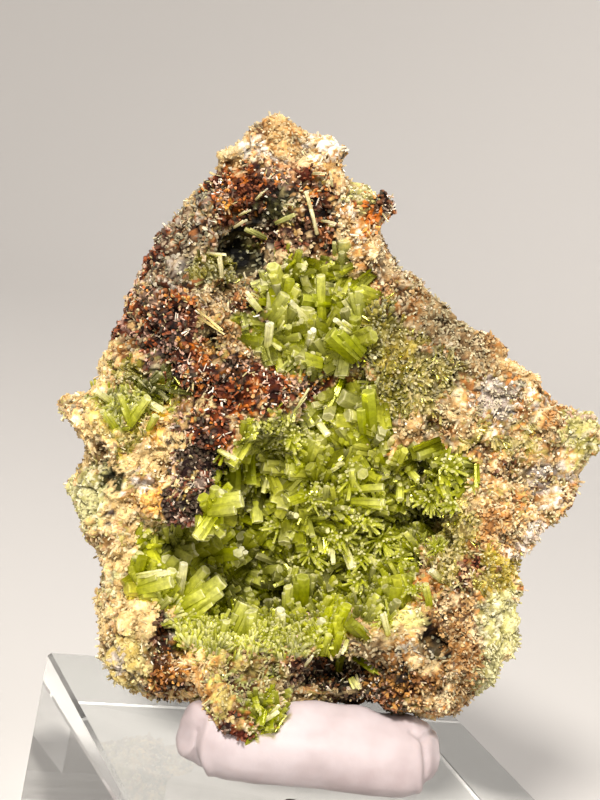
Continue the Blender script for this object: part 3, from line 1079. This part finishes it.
# Large crystals, each by its foot and tip as seen: u, v, u, v, width, rise towards the camera, shade.
PLACED = (
    (2.3, 9.6, 2.3, 13.9, 1.1, 1.6, "pale"),
    (2.6, 10.9, 0.2, 11.2, 1.6, 1.0, "green"),
    (5.9, 5.0, 3.3, 7.4, 2.2, 1.0, "green"),
    (0.8, 8.8, -1.2, 11.0, 0.8, 1.6, "white"),
    (5.5, 10.6, 5.5, 13.0, 0.35, 1.4, "white"),
    (5.7, 7.6, 3.9, 8.9, 0.8, 1.8, "white"),
    (-3.4, 6.4, -3.2, 8.6, 0.8, 1.2, "white"),
    (-4.8, 10.4, -5.9, 12.0, 0.5, 1.0, "white"),
    (1.8, 4.4, -1.0, 5.3, 1.4, 1.4, "pale"),
    (1.1, 6.4, 1.5, 7.8, 0.9, 1.4, "white"),
    (0.6, 13.2, 0.3, 14.9, 0.8, 0.8, "white"),
    (-1.6, 8.4, -3.0, 9.6, 0.7, 1.2, "pale"),
    (-0.4, -0.9, 1.0, 1.3, 0.25, 1.2, "white"),
    (1.4, -1.7, 3.1, -3.9, 0.8, 1.2, "white"),
    (2.4, -1.7, 4.8, -3.2, 0.4, 1.4, "white"),
    (8.0, -3.0, 7.6, 1.0, 2.0, 1.2, "green"),
    (-8.5, -5.8, -7.1, -6.6, 0.5, 0.8, "white"),
    (-7.2, -6.6, -7.3, -10.2, 1.5, 1.0, "green"),
    (-5.6, -6.4, -5.4, -9.4, 1.3, 0.8, "green"),
    (-5.1, -10.2, -4.7, -13.6, 1.5, 1.2, "pale"),
    (-9.6, -11.7, -6.4, -11.2, 1.6, 1.0, "pale"),
    (-10.1, -13.2, -11.6, -15.3, 1.1, 1.0, "pale"),
    (-6.7, -17.3, -6.9, -17.0, 1.3, 3.4, "white"),
    (-17.6, -19.6, -14.4, -19.2, 0.7, 1.0, "white"),
    (-17.4, -21.0, -14.2, -20.2, 1.5, 0.8, "pale"),
    (-15.0, -21.4, -14.2, -18.9, 1.2, 1.2, "pale"),
    (-13.3, -21.1, -12.9, -18.1, 1.0, 1.4, "white"),
    (-12.6, -22.6, -8.6, -20.0, 2.2, 0.4, "pale"),
    (-12.0, -23.6, -8.8, -21.2, 1.6, 0.6, "pale"),
    (-12.4, -21.2, -10.4, -18.8, 1.6, 0.8, "pale"),
    (-4.1, -20.7, -4.1, -16.8, 1.7, 1.4, "green"),
    (-5.9, -22.6, -6.0, -20.9, 1.3, 1.2, "pale"),
    (-1.3, -23.2, -1.3, -20.7, 1.3, 1.2, "pale"),
    (0.2, -22.3, 0.3, -19.6, 1.7, 1.4, "green"),
    (-7.4, -25.6, -6.1, -22.6, 2.2, 0.2, "pale"),
    (-5.4, -25.8, -5.4, -23.4, 1.6, 0.6, "pale"),
    (-8.6, -26.0, -8.2, -24.6, 1.0, 0.8, "pale"),
    (-2.2, -25.3, -2.2, -23.2, 1.1, 1.2, "white"),
    (1.5, -25.5, 2.6, -24.4, 0.9, 0.8, "white"),
    (6.3, -9.9, 9.3, -9.7, 0.9, 1.2, "pale"),
    (6.4, -11.2, 9.4, -11.4, 0.9, 1.2, "pale"),
    (11.1, -8.2, 11.1, -11.1, 1.0, 1.2, "pale"),
    (12.0, -7.8, 13.1, -9.0, 0.7, 1.0, "pale"),
    (8.3, -8.6, 9.9, -7.9, 0.8, 1.0, "white"),
    (5.9, -9.6, 5.8, -7.7, 0.7, 1.0, "pale"),
    (4.9, -16.4, 5.9, -18.7, 0.8, 1.4, "white"),
    (3.6, -16.2, 3.7, -18.2, 0.6, 1.2, "white"),
    (7.3, -17.8, 8.9, -18.0, 0.7, 1.0, "white"),
    (9.4, -20.2, 13.0, -19.7, 1.3, 1.0, "pale"),
    (14.4, -22.2, 14.0, -20.4, 0.7, 1.0, "pale"),
    (15.3, -19.6, 14.6, -18.9, 0.7, 1.0, "white"),
    (9.6, -25.6, 9.1, -23.8, 0.5, 1.0, "white"),
    (-19.0, -1.8, -20.1, 0.7, 0.75, 1.0, "pale"),
    (-21.6, 0.2, -22.8, 1.1, 0.6, 0.8, "white"),
    (-18.6, -2.2, -16.9, 0.3, 1.1, 1.4, "pale"),
    (-17.0, -0.1, -15.1, -1.2, 0.8, 1.2, "white"),
    (-16.7, -2.9, -16.1, -1.7, 0.7, 1.0, "pale"),
    (-21.0, -2.6, -22.0, -1.2, 0.7, 0.8, "pale"),
    (6.7, -28.6, 9.1, -30.3, 1.2, 1.4, "green"),
    (5.1, -27.1, 4.7, -28.2, 0.4, 1.0, "white"),
    (5.9, -31.4, 6.9, -33.1, 0.7, 1.0, "white"),
    (-4.8, -33.6, -4.5, -34.6, 0.6, 0.5, "pale"),
    (-4.1, -35.0, -4.3, -36.2, 0.6, 0.5, "green"),
    (-3.1, -35.6, -3.1, -36.6, 0.5, 0.4, "green"),
    (-3.9, -35.6, -2.4, -34.6, 0.5, 0.6, "white"),
    (-2.9, -34.6, -2.3, -33.9, 0.35, 0.5, "white"),
    (6.4, -31.0, 6.9, -33.0, 0.4, 0.9, "pearl"),
    (0.8, -29.2, 1.4, -28.4, 0.3, 0.8, "pearl"),
    (4.4, -28.2, 4.9, -27.4, 0.3, 0.8, "pearl"),
    (-8.7, 14.2, -8.9, 16.2, 0.45, 0.8, "pearl"),
    (-9.8, 16.3, -8.2, 16.1, 0.25, 0.8, "pearl"),
    (-4.4, 18.2, -6.1, 19.0, 0.6, 0.8, "olive"),
    (-11.0, 9.7, -8.6, 7.8, 0.2, 1.0, "cream"),
    (-10.9, 8.9, -8.4, 7.3, 0.2, 1.0, "cream"),
    (1.8, 19.0, 1.2, 21.2, 0.42, 0.7, "pearl"),
    (1.3, 21.0, 0.6, 23.2, 0.42, 0.7, "pearl"),
    (-2.2, 19.9, -0.6, 20.6, 0.5, 0.8, "olive"),
    (-1.4, 21.7, -0.7, 21.7, 0.28, 0.7, "pearl"),
    (-6.3, 20.7, -5.5, 21.1, 0.26, 0.7, "pearl"),
    (-6.9, 19.4, -5.9, 20.0, 0.3, 0.7, "pearl"),
    (-4.5, 22.6, -3.6, 23.5, 0.24, 0.7, "pearl"),
    (3.5, 24.3, 3.3, 25.4, 0.26, 0.6, "pearl"),
    (2.0, 25.2, 2.9, 25.2, 0.24, 0.6, "pearl"),
    (2.9, 19.8, 4.0, 19.6, 0.28, 0.6, "pearl"),
    (-2.3, 14.7, -1.4, 15.1, 0.28, 0.6, "pearl"),
)
# How far in front of the rock their feet are, and how far the crystals go on behind their feet.
PLACED_LIFT = 0.9
PLACED_SINK = 0.6
# The colours of a large crystal's foot, sides and end.
SHADES = {
    "green": ((104, 108, 3), (150, 158, 6), (204, 204, 110)),
    "pale": ((146, 150, 16), (194, 196, 78), (242, 238, 200)),
    "white": ((180, 178, 88), (230, 226, 184), (252, 250, 238)),
    "cream": ((150, 126, 78), (216, 198, 150), (244, 236, 214)),
    "olive": ((120, 118, 60), (176, 176, 112), (230, 226, 180)),
    "pearl": ((170, 160, 120), (228, 220, 190), (250, 246, 230)),
}


def placed_crystals():
    """The crystals in PLACED, which stand for the three crusts."""
    feet, tips, widths, shades = [], [], [], []
    for u0, v0, u1, v1, width, rise, shade in PLACED:
        found = surface_at(u0, v0)
        if found is None:
            continue
        depth = found[0][2] + PLACED_LIFT
        scale_foot = (SIGHT_DISTANCE - depth) / SIGHT_DISTANCE
        end = depth + rise
        scale_tip = (SIGHT_DISTANCE - end) / SIGHT_DISTANCE
        feet.append((u0 * scale_foot, v0 * scale_foot, depth))
        tips.append((u1 * scale_tip, v1 * scale_tip, end))
        widths.append(width)
        shades.append(SHADES[shade])
    feet, tips = to_world(feet), to_world(tips)
    ways = unit(tips - feet)
    lengths = np.linalg.norm(tips - feet, axis=1)
    tints = [linear([shade[k] for shade in shades]) for k in range(3)]
    feet, ways, lengths, widths, tints = with_neighbours(
        feet - ways * PLACED_SINK, ways, lengths + PLACED_SINK, np.array(widths), tints, 3,
    )
    made = crystals("large_crystals", feet, ways, lengths, widths, tints, GRAND_PRISM, 6)
    put_on(made, "green_crystal", GREEN_LOOK, "vug_crystals", "pocket_crystals", "foot_crystals")


placed_crystals()

# Pale druse, pale rods and rust grains on the rest of the rock

# Faces turned to the camera by more than this share are at the front, and towards the edge as
# seen the front's grains thin out at this rate.
FRONT_FROM = -0.1
EDGE_RISE = 2.2
# How far the grains are sunk into the rock, and how flat and how sloped they are.
DRUSE_SINK = 0.25
DRUSE_FLATNESS = 0.4
DRUSE_SLOPE = 0.4
# The size of the clumps that the tufts and rods grow in.
CLUMP_SIZE = 2.8
# The rods: how far they are sunk in, their lengths, how much longer a few are, and their widths.
ROD_SINK = 0.1
ROD_LENGTH = (0.25, 0.6)
ROD_LONGER = 0.6
ROD_WIDTH = (0.12, 0.26)
ROD_TONES = linear([(240, 230, 212), (222, 200, 172), (196, 182, 130), (206, 166, 140)])

in_brown = is_one_of(triangle_zones, BROWNS)
in_rust = is_one_of(triangle_zones, ("rust_orange", "orange"))
in_purple = is_one_of(triangle_zones, ("purple_black",))
in_bare = is_one_of(triangle_zones, (*DARK, "white"))
in_clump = np.clip((noise(triangle_middles, CLUMP_SIZE, 91) - 0.42) * 5, 0.1, 1)
is_front = (front_share > FRONT_FROM) | (seen_w > 0)
off_edge = np.clip(front_share * EDGE_RISE, 0.05, 1)
pale_weight = np.where(in_green | in_brown, 0.0, 1.0) * np.where(in_bare, 0.3, 1.0) * is_front
grain_weight = pale_weight * np.sqrt(off_edge)
tuft_weight = pale_weight * in_clump * off_edge
back_weight = np.where(is_front, 0.0, 1.0)
rust_weight = (in_brown | in_rust) * is_front * np.sqrt(off_edge) * np.where(in_purple, 1.6, 1.0)
rod_weight = in_brown * off_edge * np.where(in_purple, 0.4, 1.0) * in_clump


def druse(name, count, weights, length_range, width_range, sides, spread, lift, foot_share, look):
    """Short grains in the rock's colours. lift makes their ends lighter, foot_share their feet darker."""
    feet, normals, chosen = pick_feet(count, weights)
    ways = scattered(normals, spread)
    lengths = rng.uniform(*length_range, count) + DRUSE_SINK
    widths = rng.uniform(*width_range, count)
    base = palette_colours(triangle_zones[chosen], clustered(feet, rng.random(count)))
    base = base * lightness(feet)[:, None]
    tints = base * foot_share, base, lighter(base, lift)
    feet = feet - ways * DRUSE_SINK
    made = crystals(name, feet, ways, lengths, widths, tints, GRAIN, sides, DRUSE_FLATNESS, DRUSE_SLOPE)
    put_on(made, "matrix_rock", look)


def pale_rods(count):
    """Short flat-ended rods, as they stand on the brown rock."""
    feet, normals, _ = pick_feet(count, rod_weight)
    ways = unit(normals * 0.5 + 0.7 * rng.normal(0, 1, normals.shape))
    ways = unit(ways + normals * np.clip(0.2 - (ways * normals).sum(axis=1), 0, 1)[:, None])
    lengths = rng.uniform(*ROD_LENGTH, count) + ROD_LONGER * rng.random(count) ** 5
    widths = rng.uniform(*ROD_WIDTH, count)
    tone = ROD_TONES[rng.integers(0, len(ROD_TONES), count)]
    tints = tone * 0.6, tone, tone
    made = crystals("pale_rods", feet - ways * ROD_SINK, ways, lengths, widths, tints, ROD, 4, 0.3, 0.0)
    put_on(made, "matrix_rock", ROD_LOOK)


druse("cream_grains", 9000, grain_weight, (0.02, 0.24), (0.25, 0.6), 5, 0.5, 0.25, 0.8, DRUSE_LOOK)
druse("cream_druse", 3000, tuft_weight, (0.3, 0.75), (0.16, 0.34), 5, 0.7, 0.5, 0.7, DRUSE_LOOK)
druse("rust_grains", 5400, rust_weight, (0.1, 0.5), (0.2, 0.55), 5, 0.9, 0.05, 0.3, GRAIN_LOOK)
druse("back_druse", 7000, back_weight, (0.1, 0.4), (0.35, 0.7), 4, 0.5, 0.1, 0.6, DRUSE_LOOK)
pale_rods(900)

# Putty

# Folds and dents of the putty as seen: a line of points, its width and height.
PUTTY_FOLDS = (
    (((-9.9, -35.9), (-10.7, -38.0), (-10.7, -39.8), (-10.0, -42.2)), 0.45, 0.4),
    (((-11.7, -36.8), (-12.0, -38.6), (-11.6, -40.2), (-10.6, -41.8)), 0.45, -0.55),
    (((-12.6, -35.8), (-13.2, -37.6), (-13.0, -39.6), (-11.9, -41.2), (-10.4, -42.4)), 0.45, 0.5),
    (((13.7, -37.6), (14.0, -40.0), (13.9, -43.6)), 0.3, -0.3),
    (((12.4, -36.6), (13.6, -37.4), (14.6, -36.6)), 0.35, -0.35),
    (((13.0, -37.8), (13.3, -40.0), (13.2, -43.4)), 0.4, 0.2),
    (((-4.6, -36.6), (-1.0, -37.6), (3.0, -37.4)), 0.8, -0.15),
)
# The putty's own relief: size and height of each kind.
PUTTY_SWELL = (5.0, 0.25)
PUTTY_GRAIN = (1.6, 0.08)
# The knob pulled up at its left end: u, v, radius, rise and reach to the left.
PUTTY_KNOB = (-11.4, -34.9, 1.1, 1.0, 0.3)
# How far its front comes forward at the right end, starting from this u and below this height.
FRONT_PULL, PULL_FROM, PULL_BELOW = 2.4, 2, 30
PUTTY_TONES = (((170, 156, 158), 0.35), ((190, 179, 182), 0.65))


def away_from_line(u, v, line):
    """The distance of each point from a line of several pieces."""
    least = np.full(len(u), 1e9)
    for (u0, v0), (u1, v1) in zip(line, line[1:]):
        share = ((u - u0) * (u1 - u0) + (v - v0) * (v1 - v0)) / ((u1 - u0) ** 2 + (v1 - v0) ** 2)
        share = np.clip(share, 0, 1)
        least = np.minimum(least, np.hypot(u - u0 - share * (u1 - u0), v - v0 - share * (v1 - v0)))
    return least


def shape_putty():
    fine = reworked(
        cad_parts["mounting_putty"].data,
        ("WELD", {"merge_threshold": WELD_GAP * MM}),
        ("REMESH", {"mode": "VOXEL", "voxel_size": PUTTY_VOXEL * MM}),
        ("SMOOTH", {"factor": 0.6, "iterations": 12}),
    )
    points, normals = points_of(fine), normals_of(fine)
    u, v, _ = as_seen(points)
    raised = np.zeros(len(points))
    for seed, (size, height) in ((81, PUTTY_SWELL), (82, PUTTY_GRAIN)):
        raised += height * (noise(points, size, seed) - 0.5)
    for line, width, height in PUTTY_FOLDS:
        raised += height * np.exp(-(away_from_line(u, v, line) / width) ** 2)
    points = points + normals * raised[:, None]
    is_low = np.clip((PULL_BELOW - points[:, 2]) / 8, 0, 1)
    points[:, 1] -= FRONT_PULL * np.clip((u - PULL_FROM) / 11, 0, 1) * (normals[:, 1] < 0) * is_low
    knob_u, knob_v, radius, rise, reach = PUTTY_KNOB
    knob = np.exp(-(((u - knob_u) ** 2 + (v - knob_v) ** 2) / radius**2))
    move_points(fine, points + knob[:, None] * (FACE[:, 1] * rise - FACE[:, 0] * reach))
    fine.polygons.foreach_set("use_smooth", np.full(len(fine.polygons), True))
    return fine


def putty_material():
    made, tree, shader = new_material(
        "white_putty", Roughness=0.55, Subsurface_Weight=0.25, Subsurface_Scale=1.0,
        Subsurface_Radius=(1.5 * MM, 1.2 * MM, 1.0 * MM),
    )
    place = add_node(tree, "ShaderNodeTexCoord")
    cloud = add_node(tree, "ShaderNodeTexNoise", Scale=PUTTY_CLOUD, Detail=3.0)
    ramp = add_node(tree, "ShaderNodeValToRGB")
    for step, (tone, position) in zip(ramp.color_ramp.elements, PUTTY_TONES):
        step.color = (*linear(tone), 1)
        step.position = position
    tree.links.new(place.outputs["Object"], cloud.inputs["Vector"])
    tree.links.new(cloud.outputs["Fac"], ramp.inputs["Fac"])
    tree.links.new(ramp.outputs["Color"], shader.inputs["Base Color"])
    add_bump(tree, shader, PUTTY_RELIEF, PUTTY_RISE, 0.35)
    return made


put_on(put_in_scene("putty_roll", shape_putty()), "white_putty", putty_material(), "mounting_putty")

# Block

# The block is smudged: how rough it is where it is clean and where it is smudged.
CLEAN, SMUDGED = 0.015, 0.09


def block_material():
    made, tree, shader = new_material(
        "clear_acrylic", Base_Color=(0.98, 0.995, 0.99, 1), Transmission_Weight=1.0, IOR=1.49,
    )
    place = add_node(tree, "ShaderNodeTexCoord")
    smudge = add_node(tree, "ShaderNodeTexNoise", Scale=BLOCK_CLOUD, Detail=6.0)
    spread = add_node(tree, "ShaderNodeMapRange")
    set_inputs(spread, {"From Min": 0.45, "From Max": 0.75, "To Min": CLEAN, "To Max": SMUDGED})
    tree.links.new(place.outputs["Object"], smudge.inputs["Vector"])
    tree.links.new(smudge.outputs["Fac"], spread.inputs["Value"])
    tree.links.new(spread.outputs["Result"], shader.inputs["Roughness"])
    add_bump(tree, shader, BLOCK_RELIEF, BLOCK_RISE, 0.05, 2.0)
    let_light_through(tree, shader, (0.96, 0.97, 0.97, 1))
    return made


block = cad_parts["acrylic_block"]
block.data.materials.clear()
block.data.materials.append(block_material())

# Floor, light and camera

# The backdrop: how far out its wall stands, the curve at its foot, its height and its sides.
WALL_REACH, FOOT_CURVE, WALL_HEIGHT, BACKDROP_SIDES, CURVE_STEPS = 600.0, 220.0, 640.0, 96, 12
PAPER = (192, 190, 188)
# Lights: name, place, size, power in watts and colour.
LIGHTS = (
    ("key", (-80, -320, 360), 80, 3.6, (1.0, 0.94, 0.87)),
    ("fill", (320, -240, 180), 240, 0.6, (1.0, 0.94, 0.88)),
    ("top", (40, 60, 380), 160, 0.5, (1.0, 0.96, 0.92)),
    ("behind", (170, 540, 330), 240, 1.7, (1.0, 0.95, 0.9)),
)
LIT_SPOT = (0.0, 0.0, 50.0)
ROOM_LIGHT = {"Color": (0.94, 0.92, 0.92, 1), "Strength": 0.07}


def backdrop():
    """A pale round floor that curves up all round the specimen."""
    flat = WALL_REACH - FOOT_CURVE
    line = [(1.0, 0.0), (flat, 0.0)]
    for step in range(1, CURVE_STEPS + 1):
        angle = math.pi / 2 * step / CURVE_STEPS
        line.append((flat + FOOT_CURVE * math.sin(angle), FOOT_CURVE - FOOT_CURVE * math.cos(angle)))
    line.append((WALL_REACH, WALL_HEIGHT))
    turns = np.arange(BACKDROP_SIDES) * 2 * math.pi / BACKDROP_SIDES
    level = np.ones(BACKDROP_SIDES)
    points = np.concatenate([
        np.stack([far * np.cos(turns), far * np.sin(turns), high * level], axis=1) for far, high in line
    ])
    quads = ring_quads(BACKDROP_SIDES, len(line) - 1)
    loops = np.concatenate([np.arange(BACKDROP_SIDES), quads.ravel()])
    made = mesh_from("pale_backdrop", points, loops, [BACKDROP_SIDES] + [4] * len(quads), smooth=True)
    look, _, _ = new_material("pale_paper", Base_Color=(*linear(PAPER), 1), Roughness=0.9)
    made.data.materials.append(look)


def area_light(name, place, size, power, colour):
    data = bpy.data.lights.new(name, "AREA")
    data.shape = "DISK"
    data.size = size * MM
    data.energy = power
    data.color = colour
    made = put_in_scene(name, data)
    made.location = Vector(place) * MM
    made.rotation_euler = (Vector(LIT_SPOT) - Vector(place)).to_track_quat("-Z", "Y").to_euler()


backdrop()
for light in LIGHTS:
    area_light(*light)

world = bpy.data.worlds.new("studio")
world.use_nodes = True
set_inputs(world.node_tree.nodes["Background"], ROOM_LIGHT)
scene = bpy.context.scene
scene.world = world
scene.view_settings.view_transform = "Standard"

camera_data = bpy.data.cameras.new("camera")
camera_data.lens = LENS
camera_data.sensor_width = SENSOR
camera_data.clip_start = NEAREST * MM
camera = put_in_scene("camera", camera_data)
camera.rotation_mode = "ZYX"
camera.rotation_euler = (math.pi / 2 - LEAN_BACK, 0.0, TIP_LEFT)
camera.location = Vector(SIGHT * MM)
scene.camera = camera
